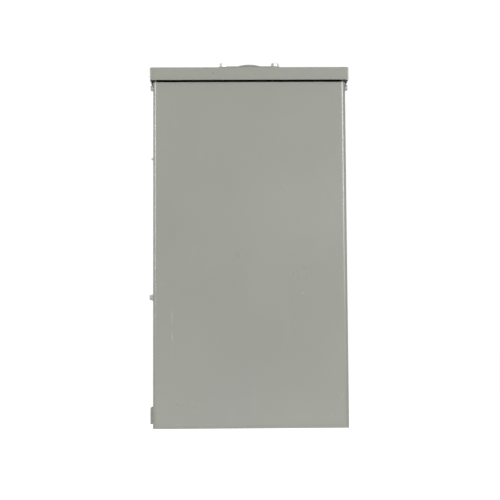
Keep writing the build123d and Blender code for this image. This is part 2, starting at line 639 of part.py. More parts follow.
def bus_bar(side):
    """One line bus: a vertical bar, with a finger and two blades at every other breaker row."""
    bar = on_side(side, block(BUS_INNER_X, BUS_OUTER_X, BUS_Y, INSULATOR_Y, BUS_BOTTOM, BUS_TOP))
    first = 0 if side == LEFT else 1
    for row in range(first, ROWS, 2):
        z = row_z(row)
        finger = block(-BLADE_OUTER_X, BUS_INNER_X, BUS_Y, INSULATOR_Y, z - FINGER_HEIGHT / 2, z + FINGER_HEIGHT / 2)
        bar = bar + on_side(side, finger)
        for blade in both_sides(block(BLADE_INNER_X, BLADE_OUTER_X, BLADE_Y, BUS_Y,
                                      z - BLADE_THICK / 2, z + BLADE_THICK / 2)):
            bar = bar + blade
    return bar


def bus_bolts():
    """Bolts that tie the bus bars to the main breaker's load straps."""
    x = (BUS_INNER_X + BUS_OUTER_X) / 2
    bolt = hex_washer_screw(9.5, 3.6, 6.0, 1.2, 2.0, 0)
    return group([Pos(side * x, BUS_Y, BUS_BOLT_Z) * FACING["front"] * bolt for side in SIDES])


def breaker_rail(side):
    """The rail under the outer ends of one column of breakers."""
    rail = block(RAIL_INNER_X, RAIL_OUTER_X, CASE_BACK_Y, INSULATOR_Y,
                 row_z(ROWS - 1) - PITCH / 2, ROW_0_Z + PITCH / 2)
    return on_side(side, rail)


def branch_case(side, first, last):
    """Moulded case of one branch breaker, one or two spaces tall, with its nose, pockets and wire entries."""
    top = row_z(first) + PITCH / 2 - CASE_GAP / 2
    low = row_z(last) - PITCH / 2 + CASE_GAP / 2
    nose = block(NOSE_INNER_X, NOSE_OUTER_X, NOSE_Y, CASE_FRONT_Y + 1, low, top)
    nose = chamfer(edges_on(nose, Axis.Y, NOSE_Y), NOSE_CHAMFER)
    case = block(CASE_INNER_X, CASE_OUTER_X, CASE_FRONT_Y, CASE_BACK_Y, low, top) + nose
    for row in range(first, last + 1):
        z = row_z(row)
        case = case - block(BLADE_INNER_X - BLADE_SLOT, BLADE_OUTER_X + BLADE_SLOT, BLADE_Y - BLADE_SLOT,
                            CASE_BACK_Y + 1, z - BLADE_THICK / 2 - BLADE_SLOT, z + BLADE_THICK / 2 + BLADE_SLOT)
        case = case - handle_pocket(z)
        case = case - rod("y", TERMINAL_R, CASE_FRONT_Y - 1, CASE_FRONT_Y + TERMINAL_DEPTH, TERMINAL_X, z)
        case = case - rod("x", WIRE_HOLE_R, CASE_OUTER_X - WIRE_HOLE_DEPTH, CASE_OUTER_X + 1, WIRE_HOLE_Y, z)
    return on_side(side, case)


def handle_pocket(z):
    half = HANDLE_WIDTH / 2 + HANDLE_CLEAR
    radius = HANDLE_HUB_R + HANDLE_CLEAR
    pocket = rod("z", radius, z - half, z + half, HANDLE_X, HANDLE_Y)
    return pocket + block(HANDLE_X - radius, HANDLE_X + radius, NOSE_Y - 1, HANDLE_Y, z - half, z + half)


def lever_outline(root, tip, start, reach):
    """Tapered lever in the XY plane, pointing along -Y from a pivot at the origin, with a rounded tip."""
    lever = make_face(Polyline((-root / 2, -start), (root / 2, -start), (tip / 2, -reach), (-tip / 2, -reach),
                               close=True))
    corners = lever.vertices().group_by(Axis.Y)[0]
    return fillet(corners, tip * 0.4)


def branch_handle(side, first, last):
    """Handle of one branch breaker, at rest on, leaning to the centre. A double has a tie bar."""
    pieces = None
    for row in range(first, last + 1):
        z0 = row_z(row) - HANDLE_WIDTH / 2
        outline = Circle(HANDLE_HUB_R) + lever_outline(HANDLE_ROOT, HANDLE_TIP, HANDLE_HUB_R / 2, HANDLE_REACH)
        lever = Pos(0, 0, z0) * extrude(outline, HANDLE_WIDTH)
        pieces = lever if pieces is None else pieces + lever
    if last > first:
        tip = HANDLE_TIP / 2 - 0.2
        pieces = pieces + block(-tip, tip, -HANDLE_REACH + 0.6, -TIE_Y, row_z(last), row_z(first))
    leaning = Pos(HANDLE_X, HANDLE_Y, 0) * Rot(0, 0, -HANDLE_TILT) * pieces
    return on_side(side, leaning)


def branch_terminal_screws():
    screw = pan_screw(3.4, 2.6, 2.0, 5.0)
    spots = [(side * TERMINAL_X, row_z(row)) for _, side, first, last in BREAKERS for row in range(first, last + 1)]
    y = CASE_FRONT_Y + TERMINAL_DEPTH - 5.0
    return group([Pos(x, y, z) * FACING["front"] * Rot(0, 0, 17 * i) * screw for i, (x, z) in enumerate(spots)])


def main_breaker_case():
    """Two-pole main breaker with a raised nose and a vertical handle slot."""
    half = MAIN_HALF_WIDTH
    case = block(-half, half, CASE_FRONT_Y, CASE_BACK_Y, MAIN_BOTTOM, MAIN_TOP)
    case = chamfer(edges_on(case, Axis.Y, CASE_FRONT_Y), 1.2)
    nose = block(-MAIN_NOSE_HALF_WIDTH, MAIN_NOSE_HALF_WIDTH, NOSE_Y, CASE_FRONT_Y + 2,
                 MAIN_NOSE_BOTTOM, MAIN_NOSE_TOP)
    nose = chamfer(edges_on(nose, Axis.Y, NOSE_Y), 1.2)
    case = case + nose
    pocket_half = MAIN_HANDLE_WIDTH / 2 + HANDLE_CLEAR
    radius = MAIN_HUB_R + HANDLE_CLEAR
    case = case - rod("x", radius, -pocket_half, pocket_half, MAIN_HANDLE_Y, MAIN_HANDLE_Z)
    case = case - block(-pocket_half, pocket_half, NOSE_Y - 1, MAIN_HANDLE_Y,
                        MAIN_HANDLE_Z - radius, MAIN_HANDLE_Z + radius)
    for side in SIDES:
        case = case - block(side * LUG_X - LUG_WIDTH / 2 - 1, side * LUG_X + LUG_WIDTH / 2 + 1,
                            CASE_FRONT_Y - 1, LUG_BACK_Y, MAIN_TOP - LUG_HEIGHT + 8, MAIN_TOP + 1)
    return case


def main_breaker_lugs():
    """Line lugs in the top of the main breaker, each bored for its cable."""
    lugs = []
    for side in SIDES:
        x = side * LUG_X
        low = MAIN_TOP - LUG_HEIGHT + 9
        lug = block(x - LUG_WIDTH / 2, x + LUG_WIDTH / 2, LUG_FRONT_Y, LUG_BACK_Y, low, low + LUG_HEIGHT)
        lug = chamfer(edges_on(lug, Axis.Y, LUG_FRONT_Y), 1.5)
        lug = lug - rod("z", LUG_BORE_R, low - 1, low + LUG_HEIGHT + 1, x, LUG_BORE_Y)
        lugs.append(lug - rod("y", LUG_SCREW_R, LUG_FRONT_Y - 1, LUG_BORE_Y, x, low + LUG_HEIGHT / 2))
    return group(lugs)


def socket_screw(radius, length):
    """A set screw along +Z with a hex socket in its top at z = 0."""
    socket_flats, socket_depth = radius * 0.9, 5.0
    screw = Pos(0, 0, -length / 2) * Cylinder(radius, length)
    screw = chamfer(screw.edges().sort_by(Axis.Z)[-1], 0.5)
    hexagon = extrude(RegularPolygon(socket_flats / 2, 6, major_radius=False), socket_depth)
    return screw - Pos(0, 0, -socket_depth) * hexagon


def main_lug_screws():
    z = MAIN_TOP - LUG_HEIGHT / 2 + 9
    screw = socket_screw(LUG_SCREW_R, 9.0)
    return group([Pos(side * LUG_X, LUG_FRONT_Y - 0.6, z) * FACING["front"] * screw for side in SIDES])


def main_breaker_handle():
    """Wide main handle, at rest on, leaning up."""
    half = MAIN_HANDLE_WIDTH / 2
    lever = lever_outline(MAIN_HANDLE_ROOT, MAIN_HANDLE_TIP, MAIN_HUB_R / 2, MAIN_HANDLE_REACH)
    flat = Pos(0, 0, -half) * extrude(Circle(MAIN_HUB_R) + lever, MAIN_HANDLE_WIDTH)
    return Pos(0, MAIN_HANDLE_Y, MAIN_HANDLE_Z) * Rot(-HANDLE_TILT, 0, 0) * Rot(0, 90, 0) * flat


def neutral_bar(side):
    """Neutral bar beside one breaker column, with a row of wire holes. The left one also carries the lug."""
    top = NEUTRAL_TOP + (NEUTRAL_LUG_RISE if side == LEFT else 0)
    half = NEUTRAL_SIZE / 2
    front = NEUTRAL_BACK_Y - NEUTRAL_SIZE
    bar = block(NEUTRAL_X - half, NEUTRAL_X + half, front, NEUTRAL_BACK_Y, NEUTRAL_BOTTOM, top)
    for z in neutral_screw_heights():
        bar = bar - rod("x", 2.6, NEUTRAL_X - half - 1, NEUTRAL_X + half + 1, NEUTRAL_BACK_Y - half + 1.5, z)
        bar = bar - rod("y", 2.2, front - 1, NEUTRAL_BACK_Y - half, NEUTRAL_X, z)
    return on_side(side, bar)


def neutral_screw_heights():
    return [NEUTRAL_TOP - 10 - i * NEUTRAL_SCREW_PITCH for i in range(NEUTRAL_SCREWS)]


def neutral_bar_screws():
    front = NEUTRAL_BACK_Y - NEUTRAL_SIZE
    screw = pan_screw(3.6, 2.2, 2.2, 3.0)
    screws = []
    for side in SIDES:
        for i, z in enumerate(neutral_screw_heights()):
            screws.append(Pos(side * NEUTRAL_X, front, z) * FACING["front"] * Rot(0, 0, 40 * i) * screw)
    return group(screws)


def neutral_supports():
    """Plastic stand-offs between the pan and the neutral bars."""
    half_x, half_z = 9.0, 8.0
    posts = []
    for z in NEUTRAL_SUPPORT_Z:
        post = block(NEUTRAL_X - half_x, NEUTRAL_X + half_x, NEUTRAL_BACK_Y, PAN_Y, z - half_z, z + half_z)
        posts += both_sides(fillet(post.edges().filter_by(Axis.Y), 2.0))
    return group(posts)


def neutral_strap():
    """Cross strap that joins the two neutral bars below the breakers."""
    half = NEUTRAL_X + NEUTRAL_SIZE / 2
    return block(-half, half, NEUTRAL_BACK_Y, NEUTRAL_BACK_Y + STRAP_THICK,
                 STRAP_Z - STRAP_HEIGHT / 2, STRAP_Z + STRAP_HEIGHT / 2)


def neutral_lug():
    """Large lug for the incoming neutral, on the left bar."""
    front = NEUTRAL_BACK_Y - NEUTRAL_SIZE
    low = NEUTRAL_TOP + 8
    lug = block(-NEUTRAL_X - LUG_WIDTH / 2, -NEUTRAL_X + LUG_WIDTH / 2, front - 26, front, low, low + LUG_HEIGHT)
    lug = chamfer(edges_on(lug, Axis.Y, front - 26), 1.5)
    lug = lug - rod("z", LUG_BORE_R, low - 1, low + LUG_HEIGHT + 1, -NEUTRAL_X, front - 12)
    return lug - rod("y", LUG_SCREW_R, front - 27, front - 12, -NEUTRAL_X, low + LUG_HEIGHT / 2)


def neutral_lug_screw():
    front = NEUTRAL_BACK_Y - NEUTRAL_SIZE - 26
    z = NEUTRAL_TOP + 8 + LUG_HEIGHT / 2
    return Pos(-NEUTRAL_X, front - 0.6, z) * FACING["front"] * socket_screw(LUG_SCREW_R, 6.0)


def bonding_screw():
    """Hex screw that bonds the right neutral bar to the enclosure."""
    front = NEUTRAL_BACK_Y - NEUTRAL_SIZE
    screw = hex_washer_screw(8.0, 4.0, 5.6, 1.2, 2.2, 0)
    return Pos(NEUTRAL_X, front, NEUTRAL_BOTTOM + 7) * FACING["front"] * screw


def ground_bar():
    """Equipment ground bar at the bottom of the back panel."""
    half = NEUTRAL_SIZE / 2
    bar = block(GROUND_LEFT, GROUND_RIGHT, GROUND_BACK_Y - NEUTRAL_SIZE, GROUND_BACK_Y,
                GROUND_Z - half, GROUND_Z + half)
    for x in ground_screw_places():
        bar = bar - rod("z", 2.6, GROUND_Z - half - 1, GROUND_Z + half + 1, x, GROUND_BACK_Y - half + 1.5)
        bar = bar - rod("y", 2.2, GROUND_BACK_Y - NEUTRAL_SIZE - 1, GROUND_BACK_Y - half, x, GROUND_Z)
    return bar


def ground_screw_places():
    return [GROUND_LEFT + 14 + i * GROUND_SCREW_PITCH for i in range(GROUND_SCREWS)]


def ground_bar_screws():
    screw = pan_screw(3.6, 2.2, 2.2, 3.0)
    front = GROUND_BACK_Y - NEUTRAL_SIZE
    return group([Pos(x, front, GROUND_Z) * FACING["front"] * Rot(0, 0, 50 * i) * screw
                  for i, x in enumerate(ground_screw_places())])


def ground_bar_mounts():
    """Bosses that hold the ground bar off the back panel."""
    return group([rod("y", GROUND_MOUNT_R, GROUND_BACK_Y, INNER_BACK_Y, x, GROUND_Z)
                  for x in (GROUND_LEFT + 12, GROUND_RIGHT - 12)])


# ---- Write every node ---------------------------------------------------------------------------------------
def pieces():
    """Every node of the load center by name."""
    made = {
        "box_wrap": box_wrap(),
        "bottom_end_wall": bottom_end_wall(),
        "rain_hood": rain_hood(),
        "hub_gasket": hub_gasket(),
        "hub_closure_plate": hub_closure_plate(),
        "hub_plate_screws": hub_plate_screws(),
        "door": door(),
        "door_pad": door_pad(),
        "door_pad_rivet": door_pad_rivet(),
        "door_seal_loop": seal_loop(-DOOR_HALF, DOOR_LOOP_Y, LOOP_PROUD),
        "box_seal_loop": seal_loop(-BOX_HALF, BOX_LOOP_Y, LOOP_PROUD + DOOR_HALF - BOX_HALF),
        "circuit_directory": circuit_directory(),
        "hinge_pivot_screws": hinge_pivot_screws(),
        "hinge_spacers": hinge_spacers(),
        "hinge_nuts": hinge_nuts(),
        "door_retaining_screw": door_retaining_screw(),
        "deadfront": deadfront(),
        "deadfront_screws": deadfront_screws(),
        "deadfront_brackets_left": deadfront_brackets(LEFT),
        "deadfront_brackets_right": deadfront_brackets(RIGHT),
        "interior_pan": interior_pan(),
        "pan_screws": pan_screws(),
        "bus_insulator": bus_insulator(),
        "bus_bar_left": bus_bar(LEFT),
        "bus_bar_right": bus_bar(RIGHT),
        "bus_bolts": bus_bolts(),
        "breaker_rail_left": breaker_rail(LEFT),
        "breaker_rail_right": breaker_rail(RIGHT),
        "main_breaker_case": main_breaker_case(),
        "main_breaker_lugs": main_breaker_lugs(),
        "main_lug_screws": main_lug_screws(),
        "main_breaker_handle": main_breaker_handle(),
        "neutral_bar_left": neutral_bar(LEFT),
        "neutral_bar_right": neutral_bar(RIGHT),
        "neutral_bar_screws": neutral_bar_screws(),
        "neutral_supports": neutral_supports(),
        "neutral_strap": neutral_strap(),
        "neutral_lug": neutral_lug(),
        "neutral_lug_screw": neutral_lug_screw(),
        "bonding_screw": bonding_screw(),
        "ground_bar": ground_bar(),
        "ground_bar_screws": ground_bar_screws(),
        "ground_bar_mounts": ground_bar_mounts(),
        "branch_terminal_screws": branch_terminal_screws(),
    }
    for name, side, first, last in BREAKERS:
        made[name + "_case"] = branch_case(side, first, last)
        made[name + "_handle"] = branch_handle(side, first, last)
    return made


os.makedirs("parts", exist_ok=True)
for node, shape in pieces().items():
    export_step(shape, f"parts/{node}.step")
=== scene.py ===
"""Looks of the outdoor load center: its materials, the printed circuit numbers, the studio and the camera."""
import bmesh
import bpy
import json
import math
from mathutils import Matrix, Vector


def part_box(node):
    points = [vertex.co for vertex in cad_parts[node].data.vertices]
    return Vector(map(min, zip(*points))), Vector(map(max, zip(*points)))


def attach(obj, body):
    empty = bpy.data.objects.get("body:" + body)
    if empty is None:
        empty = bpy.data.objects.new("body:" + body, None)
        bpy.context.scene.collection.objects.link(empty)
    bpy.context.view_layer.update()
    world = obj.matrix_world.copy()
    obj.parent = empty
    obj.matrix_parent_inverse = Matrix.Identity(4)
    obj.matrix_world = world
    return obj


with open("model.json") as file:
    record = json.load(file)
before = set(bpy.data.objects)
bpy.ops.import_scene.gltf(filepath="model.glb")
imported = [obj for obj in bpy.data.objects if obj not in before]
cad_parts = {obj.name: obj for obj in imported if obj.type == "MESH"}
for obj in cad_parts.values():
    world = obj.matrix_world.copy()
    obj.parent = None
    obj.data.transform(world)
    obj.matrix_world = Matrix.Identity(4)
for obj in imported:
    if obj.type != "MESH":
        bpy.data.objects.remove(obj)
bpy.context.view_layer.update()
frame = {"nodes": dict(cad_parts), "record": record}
nodes = frame["nodes"]
MM = 0.001

# ---- Camera and studio ---------------------------------------------------------------------------
CAMERA_PLACE = (-0.026, -2.0, -0.135)
CAMERA_PITCH = math.radians(3.82)
CAMERA_YAW = math.radians(-0.78)
CAMERA_ROLL = math.radians(-0.33)
CAMERA_LENS = 71.8
CAMERA_SENSOR = 36.0
FLOOR_Z = -0.72
FLOOR_RADIUS = 14.0
FLOOR_GLOW = 0.93
# Strength of the white world as it lights, as gloss mirrors it, and as the camera sees it.
AMBIENT = 0.04
REFLECTED = 0.60
BACKGROUND = 1.02
# Soft boxes: name, place, width and height in metres, watts, the point each faces, and whether gloss mirrors it.
MIDDLE = (0, 0, 0)
DOOR_FOOT = (0, -0.1, -0.30)
SOFT_BOXES = (
    ("left_box", (-2.0, -1.25, 0.85), 0.3, 1.5, 34, MIDDLE, True),
    ("right_box", (1.4, -1.95, 0.85), 0.3, 1.5, 43, MIDDLE, True),
    ("low_box", (0.0, -1.5, -0.62), 1.6, 0.4, 1.9, DOOR_FOOT, True),
    ("top_box", (0.0, -0.5, 2.4), 1.4, 1.0, 10, MIDDLE, True),
    ("rear_left_box", (-0.9, 2.6, 1.2), 1.0, 1.4, 26, MIDDLE, False),
    ("rear_right_box", (0.9, 2.6, 1.2), 1.0, 1.4, 26, MIDDLE, False),
)


def make_camera():
    """A nearly frontal camera a little below the middle of the object, tilted slightly up."""
    forward = Vector((-math.sin(CAMERA_YAW) * math.cos(CAMERA_PITCH),
                      math.cos(CAMERA_YAW) * math.cos(CAMERA_PITCH), math.sin(CAMERA_PITCH)))
    level = Vector((math.cos(CAMERA_YAW), math.sin(CAMERA_YAW), 0.0))
    upright = level.cross(forward)
    right = math.cos(CAMERA_ROLL) * level + math.sin(CAMERA_ROLL) * upright
    up = math.cos(CAMERA_ROLL) * upright - math.sin(CAMERA_ROLL) * level
    data = bpy.data.cameras.new("camera")
    data.lens = CAMERA_LENS
    data.sensor_width = CAMERA_SENSOR
    camera = bpy.data.objects.new("camera", data)
    turn = Matrix((right, up, -forward)).transposed().to_4x4()
    camera.matrix_world = Matrix.Translation(CAMERA_PLACE) @ turn
    bpy.context.scene.collection.objects.link(camera)
    bpy.context.scene.camera = camera


def soft_light(name, place, width, height, power, target, mirrored):
    """A rectangular soft box that faces the target. One that isn't mirrored leaves no glare."""
    data = bpy.data.lights.new(name, "AREA")
    data.shape = "RECTANGLE"
    data.size = width
    data.size_y = height
    data.energy = power
    light = bpy.data.objects.new(name, data)
    light.location = place
    light.rotation_euler = (Vector(target) - Vector(place)).to_track_quat("-Z", "Y").to_euler()
    light.visible_glossy = mirrored
    bpy.context.scene.collection.objects.link(light)


def make_world():
    """White behind the object, a bright room in its reflections and a dim even fill on it."""
    world = bpy.data.worlds.new("studio")
    world.use_nodes = True
    bpy.context.scene.world = world
    tree = world.node_tree
    background = tree.nodes["Background"]
    path = tree.nodes.new("ShaderNodeLightPath")
    strength = AMBIENT
    for ray, level in (("Is Glossy Ray", REFLECTED), ("Is Camera Ray", BACKGROUND)):
        choose = tree.nodes.new("ShaderNodeMapRange")
        choose.inputs["To Max"].default_value = level
        if isinstance(strength, float):
            choose.inputs["To Min"].default_value = strength
        else:
            tree.links.new(strength, choose.inputs["To Min"])
        tree.links.new(path.outputs[ray], choose.inputs["Value"])
        strength = choose.outputs["Result"]
    tree.links.new(strength, background.inputs["Strength"])
    background.inputs["Color"].default_value = (1, 1, 1, 1)


def make_floor():
    """A wide pale glowing disc below the object, which lights it softly from below."""
    mesh = bpy.data.meshes.new("studio_floor")
    disc = bmesh.new()
    bmesh.ops.create_circle(disc, cap_ends=True, segments=96, radius=FLOOR_RADIUS)
    disc.to_mesh(mesh)
    disc.free()
    floor = bpy.data.objects.new("studio_floor", mesh)
    floor.location = (0, 0, FLOOR_Z)
    bpy.context.scene.collection.objects.link(floor)
    pale = Surface("studio_floor", (0.86, 0.86, 0.85), 0.9)
    pale.vary_color((0.89, 0.89, 0.88), pale.noise(2.0))
    pale.bsdf.inputs["Emission Color"].default_value = (1, 1, 1, 1)
    pale.bsdf.inputs["Emission Strength"].default_value = FLOOR_GLOW
    mesh.materials.append(pale.material)
    floor.visible_glossy = False


def make_lights():
    for box in SOFT_BOXES:
        soft_light(*box)


# ---- Material kit --------------------------------------------------------------------------------
class Surface:
    """A Principled material fed by procedural textures in object coordinates, which are metres."""

    def __init__(self, name, color, roughness, metallic=0.0, **constants):
        self.material = bpy.data.materials.new(name)
        self.material.use_nodes = True
        self.tree = self.material.node_tree
        self.bsdf = self.tree.nodes["Principled BSDF"]
        self.color = (*color, 1.0)
        self.bsdf.inputs["Base Color"].default_value = self.color
        self.bsdf.inputs["Roughness"].default_value = roughness
        self.bsdf.inputs["Metallic"].default_value = metallic
        for socket, value in constants.items():
            self.bsdf.inputs[socket.replace("_", " ")].default_value = value
        self.coords = self.node("ShaderNodeTexCoord").outputs["Object"]
        self.base = None
        self.normal = None

    def node(self, kind, **settings):
        made = self.tree.nodes.new(kind)
        for key, value in settings.items():
            setattr(made, key, value)
        return made

    def link(self, source, target):
        self.tree.links.new(source, target)

    def place(self, stretch=(1, 1, 1), shift=(0, 0, 0)):
        """Object coordinates, stretched or moved."""
        mapping = self.node("ShaderNodeMapping")
        mapping.inputs["Scale"].default_value = stretch
        mapping.inputs["Location"].default_value = shift
        self.link(self.coords, mapping.inputs["Vector"])
        return mapping.outputs["Vector"]

    def noise(self, scale, detail=2.0, stretch=(1, 1, 1), shift=(0, 0, 0)):
        texture = self.node("ShaderNodeTexNoise")
        texture.inputs["Scale"].default_value = scale
        texture.inputs["Detail"].default_value = detail
        self.link(self.place(stretch, shift), texture.inputs["Vector"])
        return texture.outputs["Fac"]

    def cells(self, scale, feature="F1", output="Distance"):
        texture = self.node("ShaderNodeTexVoronoi", feature=feature)
        texture.inputs["Scale"].default_value = scale
        self.link(self.place(), texture.inputs["Vector"])
        return texture.outputs[output]

    def remap(self, value, low, high, to_low=0.0, to_high=1.0):
        """A value between low and high, carried smoothly to a new range and clamped."""
        ramp = self.node("ShaderNodeMapRange", interpolation_type="SMOOTHSTEP")
        limits = {"From Min": low, "From Max": high, "To Min": to_low, "To Max": to_high}
        for socket, number in limits.items():
            ramp.inputs[socket].default_value = number
        self.link(value, ramp.inputs["Value"])
        return ramp.outputs["Result"]

    def math(self, operation, a, b):
        made = self.node("ShaderNodeMath", operation=operation)
        for socket, value in zip(made.inputs, (a, b)):
            if isinstance(value, (int, float)):
                socket.default_value = value
            else:
                self.link(value, socket)
        return made.outputs[0]

    def vary_color(self, other, amount):
        """Mixes another colour in where amount is high."""
        mix = self.node("ShaderNodeMix", data_type="RGBA")
        if self.base is None:
            mix.inputs["A"].default_value = self.color
        else:
            self.link(self.base, mix.inputs["A"])
        mix.inputs["B"].default_value = (*other, 1.0)
        self.link(amount, mix.inputs["Factor"])
        self.base = mix.outputs["Result"]
        self.link(self.base, self.bsdf.inputs["Base Color"])

    def vary_roughness(self, value, low, high):
        self.link(self.remap(value, 0.25, 0.75, low, high), self.bsdf.inputs["Roughness"])

    def bump(self, height, depth, strength):
        """Raises the surface by depth metres where height is 1."""
        made = self.node("ShaderNodeBump")
        made.inputs["Distance"].default_value = depth
        made.inputs["Strength"].default_value = strength
        self.link(height, made.inputs["Height"])
        if self.normal is not None:
            self.link(self.normal, made.inputs["Normal"])
        self.normal = made.outputs["Normal"]
        self.link(self.normal, self.bsdf.inputs["Normal"])

    def edges(self, radius):
        """1 along sharp outer edges and corners, 0 on flats."""
        rounded = self.node("ShaderNodeBevel", samples=4)
        rounded.inputs["Radius"].default_value = radius
        flat = self.node("ShaderNodeNewGeometry").outputs["Normal"]
        dot = self.node("ShaderNodeVectorMath", operation="DOT_PRODUCT")
        self.link(rounded.outputs["Normal"], dot.inputs[0])
        self.link(flat, dot.inputs[1])
        return self.remap(self.math("SUBTRACT", 1.0, dot.outputs["Value"]), 0.02, 0.30)

    def axis(self, index):
        """One object coordinate."""
        split = self.node("ShaderNodeSeparateXYZ")
        self.link(self.coords, split.inputs[0])
        return split.outputs[index]

    def scratch(self, start, end, width):
        """1 along a straight line in the XZ plane between two points, fading at its ends, in metres."""
        direction = Vector((end[0] - start[0], end[1] - start[1]))
        length = direction.length
        direction.normalize()
        x, z = self.axis(0), self.axis(2)
        from_x, from_z = self.math("SUBTRACT", x, start[0]), self.math("SUBTRACT", z, start[1])
        along = self.math("ADD", self.math("MULTIPLY", from_x, direction.x),
                          self.math("MULTIPLY", from_z, direction.y))
        across = self.math("SUBTRACT", self.math("MULTIPLY", from_x, direction.y),
                           self.math("MULTIPLY", from_z, direction.x))
        near = self.remap(self.math("ABSOLUTE", across, 0.0), 0.0, width, 1.0, 0.0)
        inside = self.math("MULTIPLY", self.remap(along, 0.0, length * 0.3),
                           self.remap(along, length * 0.7, length, 1.0, 0.0))
        broken = self.remap(self.noise(60, 3.0), 0.4, 0.6)
        return self.math("MULTIPLY", self.math("MULTIPLY", near, inside), broken)


# ---- Materials -----------------------------------------------------------------------------------
ENAMEL = (0.204, 0.208, 0.182)
ENAMEL_LIGHT = (0.212, 0.216, 0.189)
ENAMEL_COOL = (0.199, 0.206, 0.184)
PRIMER = (0.29, 0.29, 0.26)
SPECK = (0.17, 0.17, 0.15)
SCRATCHED = (0.50, 0.50, 0.46)
SCRATCH_WIDTH = 0.0011
# Faint scratches on the door: start and end of each, as X and Z in metres.
DOOR_SCRATCHES = (
    ((-0.148, -0.110), (-0.146, -0.220)),
    ((0.146, -0.326), (0.176, -0.276)),
    ((0.060, 0.118), (0.072, 0.104)),
    ((0.094, -0.096), (0.101, -0.088)),
)


def enamel(name, scratched=False):
    """Baked satin enamel: orange peel, colour drift, faint rubs, a few specks, and thin paint on edges."""
    paint = Surface(name, ENAMEL, 0.32, Specular_IOR_Level=0.75)
    paint.vary_color(ENAMEL_LIGHT, paint.remap(paint.noise(5.0, 1.0), 0.3, 0.7))
    paint.vary_color(ENAMEL_COOL, paint.remap(paint.noise(3.2, 1.0, shift=(4, 2, 7)), 0.4, 0.75, 0.0, 0.8))
    rub = paint.remap(paint.noise(26, 5.0, stretch=(1, 1, 0.35), shift=(1, 5, 2)), 0.58, 0.82, 0.0, 0.10)
    paint.vary_color(PRIMER, rub)
    speck = paint.remap(paint.cells(170), 0.035, 0.06, 0.35, 0.0)
    paint.vary_color(SPECK, speck)
    if scratched:
        for start, end in DOOR_SCRATCHES:
            line = paint.scratch(start, end, SCRATCH_WIDTH)
            paint.vary_color(SCRATCHED, paint.math("MULTIPLY", line, 0.4))
    worn = paint.math("MULTIPLY", paint.edges(0.0012), paint.remap(paint.noise(120, 4.0), 0.45, 0.65))
    paint.vary_color(PRIMER, paint.math("MULTIPLY", worn, 0.5))
    paint.vary_roughness(paint.noise(9, 3.0), 0.27, 0.33)
    paint.bump(paint.noise(3.5, 0.0, shift=(2, 3, 1)), 0.0012, 0.35)
    paint.bump(paint.noise(620, 2.0), 0.000035, 0.8)
    return paint.material


def plated(name, color, tint, low, high, brushed=(1, 1, 1)):
    """Thin bright metal plate over steel: slow colour drift, fine grain and duller patches."""
    metal = Surface(name, color, 0.3, 1.0)
    metal.vary_color(tint, metal.remap(metal.noise(90, 3.0), 0.4, 0.68))
    dull = metal.remap(metal.noise(300, 4.0, shift=(3, 1, 2)), 0.64, 0.78, 0.0, 0.5)
    metal.vary_color((0.30, 0.29, 0.26), dull)
    metal.vary_roughness(metal.noise(240, 3.0), low, high)
    metal.bump(metal.noise(900, 3.0, stretch=brushed), 0.00003, 0.5)
    return metal.material


def galvanized():
    """Zinc-dipped sheet with its crystal spangle."""
    metal = Surface("galvanized", (0.50, 0.515, 0.52), 0.45, 0.9)
    crystals = metal.cells(75, output="Color")
    shade = metal.node("ShaderNodeSeparateColor")
    metal.link(crystals, shade.inputs[0])
    metal.vary_color((0.66, 0.67, 0.67), metal.math("MULTIPLY", shade.outputs[0], 0.7))
    metal.vary_color((0.38, 0.385, 0.38), metal.remap(metal.noise(30, 4.0), 0.55, 0.75, 0.0, 0.6))
    metal.vary_roughness(shade.outputs[1], 0.32, 0.55)
    metal.bump(metal.cells(75, feature="DISTANCE_TO_EDGE"), 0.0002, 0.25)
    metal.bump(metal.noise(500, 2.0), 0.00003, 0.5)
    return metal.material


def moulded(name, color, worn, low, high):
    """Thermoset moulding: fine spark-eroded grain, lighter worn edges and a trace of dust."""
    plastic = Surface(name, color, 0.5, Specular_IOR_Level=0.45)
    plastic.vary_color(worn, plastic.math("MULTIPLY", plastic.edges(0.0008), 0.6))
    plastic.vary_color(worn, plastic.remap(plastic.noise(45, 5.0), 0.52, 0.78, 0.0, 0.5))
    plastic.vary_roughness(plastic.noise(160, 3.0), low, high)
    plastic.bump(plastic.noise(1500, 2.0), 0.00005, 0.7)
    return plastic.material


def aluminium():
    """Extruded aluminium with saw and drawing lines."""
    metal = Surface("lug_aluminium", (0.66, 0.66, 0.655), 0.35, 1.0)
    lines = metal.noise(1400, 3.0, stretch=(1, 1, 0.03))
    metal.vary_color((0.52, 0.52, 0.51), metal.remap(lines, 0.45, 0.65, 0.0, 0.7))
    metal.vary_color((0.80, 0.80, 0.79), metal.math("MULTIPLY", metal.edges(0.0006), 0.6))
    metal.vary_roughness(metal.noise(120, 3.0), 0.28, 0.45)
    metal.bump(lines, 0.00004, 0.5)
    return metal.material


def rubber():
    """Closed-cell foam seal."""
    foam = Surface("gasket_rubber", (0.022, 0.022, 0.023), 0.85)
    foam.vary_color((0.05, 0.05, 0.05), foam.remap(foam.noise(220, 4.0), 0.45, 0.7))
    foam.vary_roughness(foam.noise(300, 2.0), 0.75, 0.95)
    foam.bump(foam.cells(1400), 0.0002, 0.8)
    return foam.material


def nylon():
    """Natural nylon, slightly translucent."""
    pad = Surface("nylon", (0.72, 0.70, 0.62), 0.45, Subsurface_Weight=0.1)
    pad.vary_color((0.60, 0.57, 0.48), pad.remap(pad.noise(300, 3.0), 0.45, 0.7))
    pad.vary_roughness(pad.noise(400, 2.0), 0.38, 0.55)
    pad.bump(pad.noise(1200, 2.0), 0.00004, 0.6)
    return pad.material


